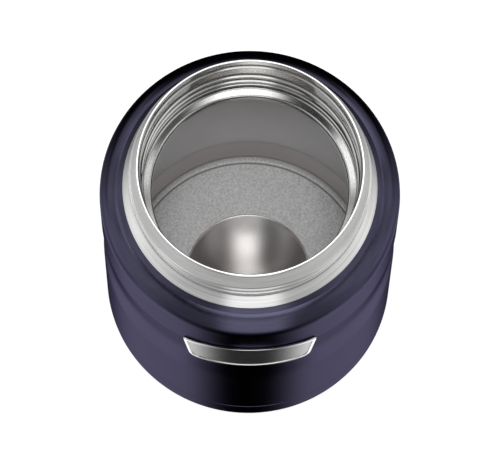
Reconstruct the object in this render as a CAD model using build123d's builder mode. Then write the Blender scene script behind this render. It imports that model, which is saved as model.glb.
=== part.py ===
from build123d import *

import os
from math import asin, cos, degrees, radians, sin, tan

# Vacuum-insulated food jar, open at the top: a lacquered outer shell and a steel food vessel are
# joined at the mouth, and hold a vacuum between them. All sizes are in millimetres.
# The origin is the centre of the foot circle, +Z points up and the badge faces -Y.

# ---- Whole jar
jar_height = 120.0
body_radius = 47.0
shell_wall = 0.5
liner_wall = 0.4
vacuum_gap = 3.8

# ---- Shoulder of the lacquered body, from the side wall inwards
shoulder_radius = 6.0
shoulder_slope = 5.0
shoulder_flat = 0.22
ledge_width = 1.65
ledge_drop = 0.9
crease_blend = 0.6

# ---- Outside of the neck: depths measured from the rim, steps measured inwards
neck_foot_depth = 18.4
neck_flare = 2.05
neck_flare_blend = 9.0
neck_ring_length = 2.2
neck_groove_radius = 0.28
neck_land_length = 3.2
neck_land_depth = 6.4
lip_step = 2.3
lip_flare_blend = 2.25
lip_depth = 1.0
lip_rounding = 0.22

# ---- Side wall of the lacquered body: a belt, a waist and a flare below it
belt_top_depth = 42.5
belt_blend = 2.0
waist_length = 14.5
waist_inset = 0.8
waist_blend = 92.0
flare_length = 13.5
flare_blend = 120.0

# ---- Base cap, heights measured from the table
seam_height = 14.0
seam_bevel = 0.2
foot_rounding = 7.0
foot_width = 2.4
foot_slope = 1.1
recess_height = 1.6
recess_blend = 0.8
dimple_radius = 5.2
dimple_slope = 2.0
dimple_height = 1.2
evacuation_hole_radius = 0.9

# ---- Seal bead and cover disc under the base
seal_bead_radius = 2.4
seal_bead_dome = 0.7
cover_radius = 15.0
cover_thickness = 0.5
cover_bevel = 0.15

# ---- Inside of the neck: depths measured from the rim, steps measured inwards
step_depth = 4.4
step_length = 1.0
step_width = 0.6
step_blend = 0.5
sealing_ledge_depth = 21.2
sealing_ledge_width = 3.1
sealing_ledge_slope = 0.6
sealing_ledge_blend = 0.9
throat_length = 3.4
throat_blend = 1.2

# ---- Rolled stopper thread, a right-hand ridge over the sealing ledge
thread_clearance = 4.0
thread_pitch = 4.3
thread_turns = 1.39
thread_start_angle = 49.0
thread_height = 0.75
thread_root_width = 2.2
thread_crest_width = 0.7
thread_bite = 0.2

# ---- Food chamber
chamber_top_depth = 34.5
chamber_blend = 5.0
taper_length = 7.4
taper_inset = 2.0
taper_blend = 14.0
vessel_foot_collar = 1.6
floor_flange = 3.0
floor_height = 10.0
floor_corner = 2.2
dish_radius = 20.4
dish_depth = 3.6
dish_edge_blend = 0.9

# ---- Foil in the vacuum gap
foil = 0.1
shield_margin = 3.0
shield_disc_margin = 1.6

# ---- Getter and its clip on the inside of the base cap
getter_margin = 8.5
getter_radius = 4.0
getter_height = 2.6
clip_strip = 0.3
clip_width = 4.4
clip_tail = 2.6
clip_lip = 1.0

# ---- Badge on the front, across the lower edge of the belt
badge_rise = 5.1
badge_height = 17.6
badge_arch = 2.8
badge_top_width = 41.8
badge_bottom_width = 37.7
badge_top_corner = 1.2
badge_bottom_corner = 3.2
badge_thickness = 0.5
badge_border = 1.1
badge_panel_depth = 0.2
badge_standoff = 0.3
pad_inset = 0.8

os.makedirs("parts", exist_ok=True)


def at(radius, depth):
    """Point of a turned profile at a radius and a depth below the rim."""
    return (radius, jar_height - depth)


def bowl_arc(radius, depth, bottom):
    """Half of a round bowl's profile, from its lowest point on the axis out to its rim."""
    sphere = (radius**2 + depth**2) / (2 * depth)
    return CenterArc(
        center=(0, bottom + sphere),
        radius=sphere,
        start_angle=270,
        arc_size=degrees(asin(radius / sphere)),
    )


# ---- Outer shell: neck, shoulder, belt and side wall in one drawn wall
shoulder_line = shoulder_radius * tan(radians(90 - shoulder_slope) / 2) + shoulder_flat
ledge_radius = body_radius - shoulder_line * cos(radians(shoulder_slope))
neck_foot_radius = ledge_radius - ledge_width
neck_land_radius = neck_foot_radius - neck_flare
lip_outer_radius = neck_land_radius - lip_step
waist_radius = body_radius - waist_inset

land_end_depth = neck_land_depth + neck_land_length
ring_end_depth = land_end_depth + 2 * neck_groove_radius + neck_ring_length
ledge_depth = neck_foot_depth + ledge_drop
shoulder_depth = ledge_depth + shoulder_line * sin(radians(shoulder_slope))
waist_depth = belt_top_depth + waist_length
flare_end_depth = waist_depth + flare_length

shell_corners = [
    (at(lip_outer_radius, lip_depth), lip_flare_blend),
    (at(neck_land_radius, neck_land_depth), lip_flare_blend),
    (at(neck_land_radius, ring_end_depth), neck_flare_blend),
    (at(neck_foot_radius, neck_foot_depth), crease_blend),
    (at(ledge_radius, ledge_depth), crease_blend),
    (at(body_radius, shoulder_depth), shoulder_radius),
    (at(body_radius, belt_top_depth), belt_blend),
    (at(waist_radius, waist_depth), waist_blend),
    (at(body_radius, flare_end_depth), flare_blend),
]


def shell_outline():
    """Outside line of the shell's profile, from the rim down to the seam over the base cap."""
    return FilletPolyline(
        at(lip_outer_radius, 0),
        *[point for point, blend in shell_corners],
        (body_radius, seam_height),
        radius=[blend for point, blend in shell_corners],
    )


with BuildPart() as outer_shell:
    with BuildSketch(Plane.XZ) as shell_profile:
        with BuildLine() as shell_line:
            shell_outline()
            offset(amount=shell_wall, side=Side.RIGHT, kind=Kind.INTERSECTION)
        make_face()
    revolve(axis=Axis.Z)
    groove_depths = [
        land_end_depth + neck_groove_radius,
        ring_end_depth + neck_groove_radius,
    ]
    with BuildSketch(Plane.XZ) as neck_grooves:
        with Locations([at(neck_land_radius, depth) for depth in groove_depths]):
            Circle(neck_groove_radius)
    revolve(axis=Axis.Z, mode=Mode.SUBTRACT)
    rim_edges = outer_shell.edges().filter_by(GeomType.CIRCLE).group_by(Axis.Z)[-1]
    fillet(rim_edges.sort_by(SortBy.RADIUS)[-1], lip_rounding)
    seam_edges = outer_shell.edges().filter_by(GeomType.CIRCLE).group_by(Axis.Z)[0]
    chamfer(seam_edges.sort_by(SortBy.RADIUS)[-1], seam_bevel)
outer_shell.part.label = "outer_shell"
export_step(outer_shell.part, "parts/outer_shell.step")

# ---- Outer base: drawn cap with a foot ring and a recessed centre
foot_inner_radius = body_radius - foot_rounding - foot_width
recess_radius = foot_inner_radius - foot_slope
dimple_top = recess_height + dimple_height
dimple_flat_radius = dimple_radius - dimple_slope

with BuildPart() as outer_base:
    with BuildSketch(Plane.XZ) as base_profile:
        with BuildLine() as base_line:
            FilletPolyline(
                (body_radius, seam_height),
                (body_radius, 0),
                (foot_inner_radius, 0),
                (recess_radius, recess_height),
                (dimple_radius, recess_height),
                (dimple_flat_radius, dimple_top),
                (0, dimple_top),
                radius=[foot_rounding] + [recess_blend] * 4,
            )
            offset(amount=shell_wall, side=Side.RIGHT, kind=Kind.INTERSECTION)
        make_face()
    revolve(axis=Axis.Z)
    cap_edges = outer_base.edges().filter_by(GeomType.CIRCLE).group_by(Axis.Z)[-1]
    chamfer(cap_edges.sort_by(SortBy.RADIUS)[-1], seam_bevel)
    with BuildSketch(Plane.XY.offset(recess_height)) as evacuation_hole:
        Circle(evacuation_hole_radius)
    extrude(amount=dimple_height + 2 * shell_wall, mode=Mode.SUBTRACT)
outer_base.part.label = "outer_base"
export_step(outer_base.part, "parts/outer_base.step")

# ---- Liner body: mouth, stopper thread, sealing ledge and chamber wall
mouth_radius = lip_outer_radius - shell_wall - liner_wall
thread_root_radius = mouth_radius - step_width
throat_radius = thread_root_radius - sealing_ledge_width
chamber_radius = body_radius - shell_wall - vacuum_gap - liner_wall
vessel_foot_radius = chamber_radius - taper_inset

step_end_depth = step_depth + step_length
ledge_lip_depth = sealing_ledge_depth + sealing_ledge_slope
throat_end_depth = ledge_lip_depth + throat_length
vessel_joint_height = floor_height + floor_flange
taper_end_height = vessel_joint_height + vessel_foot_collar
taper_top_height = taper_end_height + taper_length

liner_corners = [
    (at(mouth_radius, step_depth), step_blend),
    (at(thread_root_radius, step_end_depth), step_blend),
    (at(thread_root_radius, sealing_ledge_depth), sealing_ledge_blend),
    (at(throat_radius, ledge_lip_depth), sealing_ledge_blend),
    (at(throat_radius, throat_end_depth), throat_blend),
    (at(chamber_radius, chamber_top_depth), chamber_blend),
    ((chamber_radius, taper_top_height), taper_blend),
    ((vessel_foot_radius, taper_end_height), vessel_foot_collar),
]
with BuildPart() as liner_body:
    with BuildSketch(Plane.XZ) as liner_profile:
        with BuildLine() as liner_line:
            FilletPolyline(
                at(mouth_radius, 0),
                *[point for point, blend in liner_corners],
                (vessel_foot_radius, vessel_joint_height),
                radius=[blend for point, blend in liner_corners],
            )
            offset(amount=liner_wall, side=Side.LEFT, kind=Kind.INTERSECTION)
        make_face()
    revolve(axis=Axis.Z)
    with BuildLine(Plane.XY.rotated((0, 0, thread_start_angle))) as thread_path:
        Helix(
            pitch=thread_pitch,
            height=thread_pitch * thread_turns,
            radius=thread_root_radius,
            center=(0, 0, jar_height - sealing_ledge_depth + thread_clearance),
        )
    thread_plane = Plane(
        origin=thread_path.line @ 0,
        x_dir=Vector(-1, 0, 0).rotate(Axis.Z, thread_start_angle),
        z_dir=thread_path.line % 0,
    )
    with BuildSketch(thread_plane) as thread_section:
        with BuildLine() as thread_outline:
            Polyline(
                (-thread_bite, -thread_root_width / 2),
                (0, -thread_root_width / 2),
                (thread_height, -thread_crest_width / 2),
                (thread_height, thread_crest_width / 2),
                (0, thread_root_width / 2),
                (-thread_bite, thread_root_width / 2),
                close=True,
            )
        make_face()
    sweep(path=thread_path.line, is_frenet=True)
    mouth_edges = liner_body.edges().filter_by(GeomType.CIRCLE).group_by(Axis.Z)[-1]
    fillet(mouth_edges.sort_by(SortBy.RADIUS)[0], lip_rounding)
liner_body.part.label = "liner_body"
export_step(liner_body.part, "parts/liner_body.step")

# ---- Liner base: pressed floor with a flange and a dished centre
with BuildPart() as liner_base:
    with BuildSketch(Plane.XZ) as floor_profile:
        with BuildLine() as floor_line:
            FilletPolyline(
                (vessel_foot_radius, vessel_joint_height),
                (vessel_foot_radius, floor_height),
                (dish_radius, floor_height),
                radius=floor_corner,
            )
            bowl_arc(dish_radius, dish_depth, floor_height - dish_depth)
            dish_rim = floor_line.vertices().sort_by_distance((dish_radius, floor_height))[0]
            fillet(dish_rim, dish_edge_blend)
            offset(amount=liner_wall, side=Side.LEFT, kind=Kind.INTERSECTION)
        make_face()
    revolve(axis=Axis.Z)
liner_base.part.label = "liner_base"
export_step(liner_base.part, "parts/liner_base.step")

# ---- Heat shield: foil sleeve on the straight part of the chamber wall
chamber_outer_radius = chamber_radius + liner_wall
shield_bottom = taper_top_height + shield_margin
shield_top = jar_height - chamber_top_depth - chamber_blend - shield_margin

with BuildPart() as heat_shield:
    with BuildSketch(Plane.XY.offset(shield_bottom)) as shield_ring:
        Circle(chamber_outer_radius + foil)
        Circle(chamber_outer_radius, mode=Mode.SUBTRACT)
    extrude(amount=shield_top - shield_bottom)
heat_shield.part.label = "heat_shield"
export_step(heat_shield.part, "parts/heat_shield.step")

# ---- Shield disc: foil ring against the underside of the vessel floor
floor_underside = floor_height - liner_wall

with BuildPart() as shield_disc:
    with BuildSketch(Plane.XY.offset(floor_underside)) as disc_ring:
        Circle(vessel_foot_radius - floor_corner - shield_disc_margin)
        Circle(dish_radius + shield_disc_margin, mode=Mode.SUBTRACT)
    extrude(amount=-foil)
shield_disc.part.label = "shield_disc"
export_step(shield_disc.part, "parts/shield_disc.step")

# ---- Getter clip: bent strip welded to the inside of the base cap, behind the centre
panel_top = recess_height + shell_wall
getter_offset = recess_radius - getter_margin
getter_bottom = panel_top + clip_strip
getter_top = getter_bottom + getter_height
getter_plane = Plane(origin=(0, getter_offset, getter_bottom))
clip_half_length = getter_radius + clip_strip + clip_tail

with BuildPart() as getter_clip:
    with BuildSketch(Plane.XZ.offset(-getter_offset)) as clip_section:
        with BuildLine() as clip_line:
            Polyline(
                (0, panel_top),
                (clip_half_length, panel_top),
                (clip_half_length, getter_bottom),
                (getter_radius + clip_strip, getter_bottom),
                (getter_radius + clip_strip, getter_top + clip_strip),
                (getter_radius - clip_lip, getter_top + clip_strip),
                (getter_radius - clip_lip, getter_top),
                (getter_radius, getter_top),
                (getter_radius, getter_bottom),
                (0, getter_bottom),
                close=True,
            )
        make_face()
        mirror(about=Plane.YZ)
    extrude(amount=clip_width / 2, both=True)
getter_clip.part.label = "getter_clip"
export_step(getter_clip.part, "parts/getter_clip.step")

with BuildPart() as getter_pellet:
    with BuildSketch(getter_plane) as pellet_circle:
        Circle(getter_radius)
    extrude(amount=getter_height)
getter_pellet.part.label = "getter_pellet"
export_step(getter_pellet.part, "parts/getter_pellet.step")

# ---- Vacuum seal: bead of sealing glass in the dimple and the evacuation hole
with BuildPart() as vacuum_seal:
    with BuildSketch(Plane.XZ) as seal_profile:
        with BuildLine() as seal_line:
            Polyline(
                (0, dimple_top - seal_bead_dome),
                (0, dimple_top + shell_wall),
                (evacuation_hole_radius, dimple_top + shell_wall),
                (evacuation_hole_radius, dimple_top),
                (seal_bead_radius, dimple_top),
            )
            bowl_arc(seal_bead_radius, seal_bead_dome, dimple_top - seal_bead_dome)
        make_face()
    revolve(axis=Axis.Z)
vacuum_seal.part.label = "vacuum_seal"
export_step(vacuum_seal.part, "parts/vacuum_seal.step")

# ---- Seal cover: disc bonded into the recess of the base
with BuildPart() as seal_cover:
    with BuildSketch(Plane.XY.offset(recess_height)) as cover_circle:
        Circle(cover_radius)
    extrude(amount=-cover_thickness)
    chamfer(seal_cover.edges().group_by(Axis.Z)[0], cover_bevel)
seal_cover.part.label = "seal_cover"
export_step(seal_cover.part, "parts/seal_cover.step")


# ---- Badge: bent plate with a raised border, on an adhesive pad
badge_inner_radius = body_radius + badge_standoff
badge_outer_radius = badge_inner_radius + badge_thickness
badge_top = jar_height - belt_top_depth + badge_rise
badge_bottom = badge_top - badge_height
badge_reach = 2 * body_radius


def badge_layer(inset, inner_radius, outer_radius):
    """Layer of the badge between two radii about the jar's axis, drawn in by an inset.

    Its outline has a level foot, sides that lean outwards and an arched top.
    """
    corner_height = badge_top - badge_arch
    top_left = (-badge_top_width / 2, corner_height)
    top_right = (badge_top_width / 2, corner_height)
    with BuildPart() as layer:
        with BuildSketch(Plane.XZ) as outline:
            with BuildLine():
                Polyline(
                    top_left,
                    (-badge_bottom_width / 2, badge_bottom),
                    (badge_bottom_width / 2, badge_bottom),
                    top_right,
                )
                ThreePointArc(top_left, (0, badge_top), top_right)
            make_face()
            fillet(outline.vertices().group_by(Axis.Y)[-1], badge_top_corner)
            fillet(outline.vertices().group_by(Axis.Y)[0], badge_bottom_corner)
            if inset > 0:
                offset(amount=-inset)
        extrude(amount=badge_reach)
        with BuildSketch(Plane.XY) as ring:
            Circle(outer_radius)
            Circle(inner_radius, mode=Mode.SUBTRACT)
        extrude(amount=jar_height, mode=Mode.INTERSECT)
    return layer.part


with BuildPart() as badge_plate:
    add(badge_layer(0, badge_inner_radius, badge_outer_radius))
    add(
        badge_layer(badge_border, badge_outer_radius - badge_panel_depth, badge_reach),
        mode=Mode.SUBTRACT,
    )
badge_plate.part.label = "badge_plate"
export_step(badge_plate.part, "parts/badge_plate.step")

with BuildPart() as badge_pad:
    add(badge_layer(pad_inset, waist_radius - shell_wall, badge_inner_radius))
    with BuildSketch(Plane.XZ) as shell_silhouette:
        with BuildLine() as silhouette_line:
            shell_outline()
            Polyline(
                (body_radius, seam_height),
                (0, seam_height),
                (0, jar_height),
                (lip_outer_radius, jar_height),
            )
        make_face()
    revolve(axis=Axis.Z, mode=Mode.SUBTRACT)
badge_pad.part.label = "badge_pad"
export_step(badge_pad.part, "parts/badge_pad.step")
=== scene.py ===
from math import radians

import bpy
import numpy as np
from bpy.props import FloatProperty, FloatVectorProperty, PointerProperty
from bpy.types import Operator, Panel, PropertyGroup
from mathutils import Matrix, Vector


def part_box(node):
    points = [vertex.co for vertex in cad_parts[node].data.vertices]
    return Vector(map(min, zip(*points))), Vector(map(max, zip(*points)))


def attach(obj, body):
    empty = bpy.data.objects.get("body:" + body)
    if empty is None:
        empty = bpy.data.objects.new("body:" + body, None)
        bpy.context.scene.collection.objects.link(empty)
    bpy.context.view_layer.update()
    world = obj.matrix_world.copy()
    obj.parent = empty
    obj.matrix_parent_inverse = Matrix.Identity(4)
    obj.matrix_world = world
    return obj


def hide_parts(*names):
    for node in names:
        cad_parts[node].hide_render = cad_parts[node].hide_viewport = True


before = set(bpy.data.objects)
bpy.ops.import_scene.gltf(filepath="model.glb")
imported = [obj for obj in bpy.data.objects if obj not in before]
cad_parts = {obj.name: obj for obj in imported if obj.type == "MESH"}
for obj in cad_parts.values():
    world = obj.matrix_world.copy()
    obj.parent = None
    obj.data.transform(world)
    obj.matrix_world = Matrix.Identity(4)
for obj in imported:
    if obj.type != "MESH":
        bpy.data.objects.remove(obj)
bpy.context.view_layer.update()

bl_info = {
    "name": "Insulated food jar",
    "version": (1, 0, 0),
    "blender": (4, 5, 0),
    "location": "View3D > Sidebar > Food Jar",
    "description": "Dresses the food jar: lacquered shell, bare neck, steel vessel, badge, studio",
    "category": "Object",
}

MM = 0.001
SHELL_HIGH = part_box("outer_shell")[1]
SEAM_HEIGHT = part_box("outer_base")[1].z
BODY = "root"
TOLERANCE = 1e-7

WALL_COLUMNS = 384  # points round a plain wall
NECK_COLUMNS = 432  # points round the beaded neck and the threaded mouth
THREAD_ROW = 0.14 * MM  # height of one row of the thread's grid
BEAD_ROWS = 40  # rows across a rolled bead of the neck
LINE_ROWS = 13  # rows across a fine rolled line
DISH_ROWS = 42  # rows of the dish, from its edge to the axis
PANEL_ROWS = 14  # rings of the badge's panel, from its middle to its edge
CROWN_POINTS = 31  # points along the badge's arched top


# ---------------------------------------------------------------- settings


def length(text, millimetres):
    """Length setting, written in millimetres and kept in metres."""
    return lambda label: FloatProperty(
        name=label, description=text, default=millimetres * MM, unit="LENGTH", precision=5
    )


def angle(text, degrees):
    """Angle setting, written in degrees and kept in radians."""
    return lambda label: FloatProperty(
        name=label, description=text, default=radians(degrees), subtype="ANGLE"
    )


def number(text, value, **options):
    """Setting of any other kind, with its own unit or limits."""
    return lambda label: FloatProperty(name=label, description=text, default=value, **options)


def tint(text, colour):
    """Linear colour setting."""
    return lambda label: FloatVectorProperty(
        name=label, description=text, default=colour, min=0, max=1, size=3, subtype="COLOR"
    )


def labelled(group):
    """Gives each setting of a group its name, which is made from its attribute's."""
    for key, setting in group.__annotations__.items():
        group.__annotations__[key] = setting(key.replace("_", " ").capitalize())
    return group


@labelled
class ShellSettings(PropertyGroup):
    """Outer shell: depths are measured from the rim down, widths inwards."""

    jar_height: length("From the table to the rim", SHELL_HIGH.z / MM)
    body_radius: length("Lacquered side wall", SHELL_HIGH.x / MM)
    wall: length("Thickness of the shell's sheet", 0.5)
    shoulder_radius: length("Rounding of the shoulder", 6.0)
    shoulder_width: length("From the side wall in to the ledge", 5.696)
    shoulder_drop: length("Fall of the shoulder over its width", 0.498)
    ledge_width: length("Sloping band outside the neck", 1.65)
    ledge_drop: length("Fall of that band", 0.9)
    crease_blend: length("Rounding where the neck meets the body", 0.6)
    neck_foot_depth: length("Where the lacquer begins", 18.4)
    neck_flare: length("Widening of the neck to its foot", 2.7)
    neck_flare_depth: length("Where the flare begins", 14.6)
    neck_flare_blend: length("Rounding over the flare", 1.4)
    neck_land_depth: length("Top of the neck's straight land", 6.4)
    lip_step: length("From the land in to the lip", 1.65)
    lip_blend: length("Rounding between lip and land", 2.25)
    lip_depth: length("Height of the lip's straight edge", 1.0)
    lip_rounding: length("Rounding of the rim's edges", 0.3)
    lip_seam: length("From the shell's lip in to its weld with the vessel", 0.5)
    upper_bead_depth: length("Crest of the first rolled bead", 8.3)
    upper_bead_width: length("Half the width of that bead", 1.9)
    upper_bead_height: length("How far it stands off the neck", 0.65)
    lower_bead_depth: length("Crest of the second rolled bead", 11.45)
    lower_bead_width: length("Half the width of that bead", 1.3)
    lower_bead_height: length("How far it stands off the neck", 0.5)
    belt_top_depth: length("Lower edge of the straight belt", 42.5)
    belt_blend: length("Rounding under the belt", 2.0)
    belt_line_width: length("Half the width of the rolled line under the belt", 0.22)
    belt_line_depth: length("How deep that line is rolled", 0.03)
    waist_depth: length("Narrowest place of the body", 57.0)
    waist_inset: length("How far the waist draws in", 0.8)
    waist_blend: length("Rounding of the waist", 92.0)
    flare_end_depth: length("Where the body is full again", 70.5)
    flare_blend: length("Rounding at the flare's end", 120.0)
    seam_height: length("Weld between shell and base cap", SEAM_HEIGHT / MM)
    seam_bevel: length("Bevel beside the seam", 0.2)


@labelled
class BaseSettings(PropertyGroup):
    """Base cap: heights are measured from the table."""

    foot_rounding: length("Rounding under the side wall", 7.0)
    foot_width: length("Flat ring that the jar stands on", 2.4)
    foot_slope: length("Width of the step into the recess", 1.1)
    recess_height: length("How far the centre stands off the table", 1.6)
    recess_blend: length("Rounding of the pressed corners", 0.8)
    dimple_radius: length("Dimple round the evacuation hole", 5.2)
    dimple_slope: length("Width of the dimple's side", 2.0)
    dimple_height: length("How far the dimple is pressed in", 1.2)
    hole_radius: length("Evacuation hole", 0.9)


@labelled
class VesselSettings(PropertyGroup):
    """Food vessel: depths are measured from the rim, heights from the table."""

    wall: length("Thickness of the vessel's sheet", 0.4)
    mouth_radius: length("Straight mouth under the lip", 34.4038)
    step_depth: length("Step under the mouth", 3.6)
    step_length: length("Height of that step", 0.5)
    step_width: length("Step down to the threaded wall", 0.6)
    step_blend: length("Rounding of the step", 0.25)
    stop_line_depth: length("Thin rolled line between thread and ledge", 18.3)
    stop_line_width: length("Half the width of that line", 0.8)
    stop_line_height: length("How far it stands into the mouth", 0.6)
    ledge_depth: length("Sealing ledge under the thread", 21.2)
    ledge_width: length("Width of the sealing ledge", 3.1)
    ledge_slope: length("Fall of the sealing ledge", 0.6)
    ledge_blend: length("Rounding of the sealing ledge", 0.9)
    throat_length: length("Straight bore below the ledge", 3.4)
    throat_blend: length("Rounding under the throat", 1.2)
    chamber_top_depth: length("Where the chamber is full", 34.5)
    chamber_blend: length("Rounding at the top of the chamber", 5.0)
    chamber_radius: length("Straight chamber wall", 42.3)
    taper_top_height: length("Where the wall starts to draw in", 22.0)
    taper_blend: length("Rounding at the top of the taper", 6.0)
    taper_line_width: length("Half the width of the line where the taper starts", 0.5)
    taper_line_height: length("How far that line stands proud", 0.1)
    collar_blend: length("Rounding at the foot of the taper", 0.6)
    foot_inset: length("How far the taper draws in", 2.0)
    collar_height: length("Top of the straight weld collar", 14.6)
    joint_height: length("Weld between wall and floor", 13.0)
    weld_width: length("Half the width of the weld bead", 0.45)
    weld_height: length("How far the weld bead stands proud", 0.07)
    floor_height: length("Flat part of the vessel's floor", 10.0)
    floor_corner: length("Rounding round the floor", 1.5)
    crease_width: length("Half the width of the pressed line inside that rounding", 0.35)
    crease_depth: length("How deep that line is pressed", 0.12)
    dish_radius: length("Pressed dish in the floor", 20.4)
    dish_depth: length("How deep the dish is pressed", 3.6)
    dish_blend: length("Rounding of the dish's edge", 2.2)


@labelled
class ThreadSettings(PropertyGroup):
    """Rolled stopper thread: a right-hand ridge of one start."""

    clearance: length("From the sealing ledge up to the thread's start", 5.5)
    pitch: length("Rise in one turn", 4.3)
    turns: number("Length of the ridge in turns", 1.39, min=0)
    start: angle("Where the ridge starts", 49)
    runout: angle("Angle over which an end fades", 16)
    height: length("How far the ridge stands into the mouth", 0.75)
    root_width: length("Width of the ridge at the wall", 2.2)
    crest_width: length("Width of the ridge at its crest", 0.7)


@labelled
class BadgeSettings(PropertyGroup):
    """Badge plate on the front of the belt."""

    top_depth: length("Highest point of the arch, below the rim", 37.4)
    height: length("From the level foot to the top of the arch", 17.6)
    arch: length("How far the top arches", 2.8)
    top_width: length("Width across the top corners", 41.8)
    bottom_width: length("Width across the foot", 37.7)
    top_corner: length("Rounding of the top corners", 1.2)
    bottom_corner: length("Rounding of the bottom corners", 3.2)
    thickness: length("Thickness of the plate", 0.5)
    standoff: length("Gap that the pad fills behind the plate", 0.3)
    border: length("Width of the raised border", 1.1)
    panel_depth: length("How far the panel lies below the border", 0.2)
    edge: length("Rounding of the border's edges", 0.14)


@labelled
class FinishSettings(PropertyGroup):
    """Colours of the finishes, as linear values."""

    lacquer: tint("Metallic colour of the body", (0.118, 0.115, 0.172))
    lacquer_deep: tint("Darker flakes of the lacquer", (0.080, 0.078, 0.122))
    steel: tint("Bare stainless steel", (0.85, 0.85, 0.84))
    steel_deep: tint("Darker streaks of bare steel", (0.68, 0.68, 0.67))
    neck: tint("Turned steel of the neck", (0.90, 0.90, 0.89))
    plate: tint("Brushed panel of the badge", (0.46, 0.46, 0.46))
    plate_deep: tint("Darker strands of that panel", (0.36, 0.36, 0.36))
    satin: tint("Electropolished vessel wall", (0.62, 0.61, 0.61))
    satin_deep: tint("Darker clouds of that wall", (0.52, 0.51, 0.51))
    frosted: tint("Blasted floor of the vessel", (0.90, 0.90, 0.90))
    heat_tint: tint("Warm tint beside the vessel's weld", (0.48, 0.43, 0.415))
    # The next colour is the weld's dark oxide, and painted shade in the floor's pressed crease
    oxide: tint("Dark line of the weld and of the floor's crease", (0.20, 0.19, 0.18))
    # The next colour is painted shade, laid in the rolled line under the belt
    pooled: tint("Lacquer lying thick in the rolled line", (0.01, 0.01, 0.014))
    # The next colour is partly painted shade, laid at the roots of the step and ridges in the
    # mouth, and partly a darker tone of the neck's band and the mouth's ledge
    residue: tint("Dark residue that the polish has left", (0.06, 0.06, 0.06))
    foil: tint("Heat shield's foil", (0.87, 0.87, 0.88))
    foil_deep: tint("Darker clouds of the foil", (0.7, 0.7, 0.71))
    getter: tint("Sintered getter metal", (0.26, 0.25, 0.24))
    getter_deep: tint("Pores of the getter", (0.1, 0.098, 0.095))
    glass: tint("Fused sealing glass", (0.34, 0.2, 0.09))
    glass_deep: tint("Darker clouds of the glass", (0.16, 0.09, 0.035))
    foam: tint("Cell walls of the foam pad", (0.048, 0.048, 0.052))
    foam_deep: tint("Cells of the foam pad", (0.012, 0.012, 0.013))


@labelled
class StudioSettings(PropertyGroup):
    """Camera, overhead softbox, world and floor."""

    camera_azimuth: angle("Camera's turn about the jar", -1.25)
    camera_elevation: angle("Camera's height over the horizon", 72)
    camera_roll: angle("Camera's turn about its own axis", 1.15)
    camera_distance: length("From the aim point to the camera", 1281.7)
    aim_depth: length("The camera's aim point below the rim", 57.7)
    focal_length: number("Lens in millimetres", 288, min=1, unit="CAMERA")
    sensor_width: number("Sensor in millimetres", 36, min=1, unit="CAMERA")
    lens_shift: number("Sideways lens shift, as a share of the sensor's width", 0.0016)
    softbox_size: length("Side of the square overhead softbox", 340)
    softbox_distance: length("From the jar to the softbox", 1500)
    softbox_tilt: angle("Lean of the softbox to the front", 11)
    softbox_power: number("Power in watts", 11.5, min=0)
    world_light: number("Plain light of the world on the jar", 0.56, min=0)
    floor_size: length("Half the side of the floor", 3000)
    floor_gap: length("From the foot ring down to the floor", 0.02)
    floor_glow: number("Brightness of the unlit floor to the camera", 0.9, min=0)
    floor_shade: number("Grey that shows the jar's shadow", 0.25, min=0, max=1)
    floor_grey: number("Grey that the floor throws back at the jar", 0.7, min=0, max=1)


# ---------------------------------------------------------------- surfaces


def rounded_path(rows, arc_steps=12, run_step=3.0 * MM, support=0.12 * MM):
    """Path through corners, given as rows of two coordinates and the blend at that corner.

    A blend of radius b at a turn of angle t leaves both runs at b * tan(t / 2) from the corner, and
    its centre lies b to the side of the turn. The two ends take no blend. Runs are divided evenly
    and have a support point close to each end, so that shading stays flat along them.
    """
    rows = np.array(rows, float)
    corners, blends = rows[:, :2], rows[1:-1, 2]
    stretches, cursor = [], corners[0]

    def run(start, end):
        span = np.linalg.norm(end - start)
        if span < 2.5 * support:
            return np.array([start, end])
        inner = np.linspace(support, span - support, max(2, int(span / run_step) + 1))
        steps = np.concatenate([[0], inner, [span]])
        return start + (end - start) * (steps / span)[:, None]

    for before, corner, after, blend in zip(corners, corners[1:], corners[2:], blends):
        into = (corner - before) / np.linalg.norm(corner - before)
        away = (after - corner) / np.linalg.norm(after - corner)
        turn = np.arctan2(into[0] * away[1] - into[1] * away[0], into @ away)
        reach = blend * abs(np.tan(turn / 2))
        start = corner - into * reach
        stretches.append(run(cursor, start))
        side = np.array([-into[1], into[0]]) * np.sign(turn)
        angles = turn * np.linspace(0, 1, arc_steps + 1)[:, None]
        spoke = -side * blend
        crossed = np.array([-spoke[1], spoke[0]])
        stretches.append(start + side * blend + spoke * np.cos(angles) + crossed * np.sin(angles))
        cursor = corner + away * reach
    stretches.append(run(cursor, corners[-1]))
    path = np.vstack(stretches)
    keep = np.linalg.norm(np.diff(path, axis=0), axis=1) > TOLERANCE
    return path[np.concatenate([[True], keep])]


def side_step(path, distance):
    """Path moved sideways by a distance, to its left, along the mean normal at each point."""
    along = np.gradient(path, axis=0)
    along /= np.linalg.norm(along, axis=1)[:, None]
    return path + distance * np.column_stack([-along[:, 1], along[:, 0]])


def sharp_rows(loop, closed, limit=radians(32)):
    """Rows of a profile where its direction turns by more than a limit."""
    ahead = np.roll(loop, -1, axis=0) - loop
    behind = loop - np.roll(loop, 1, axis=0)
    cross = behind[:, 0] * ahead[:, 1] - behind[:, 1] * ahead[:, 0]
    turn = np.abs(np.arctan2(cross, (behind * ahead).sum(1)))
    if not closed:
        turn[[0, -1]] = 0
    return turn > limit


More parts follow.
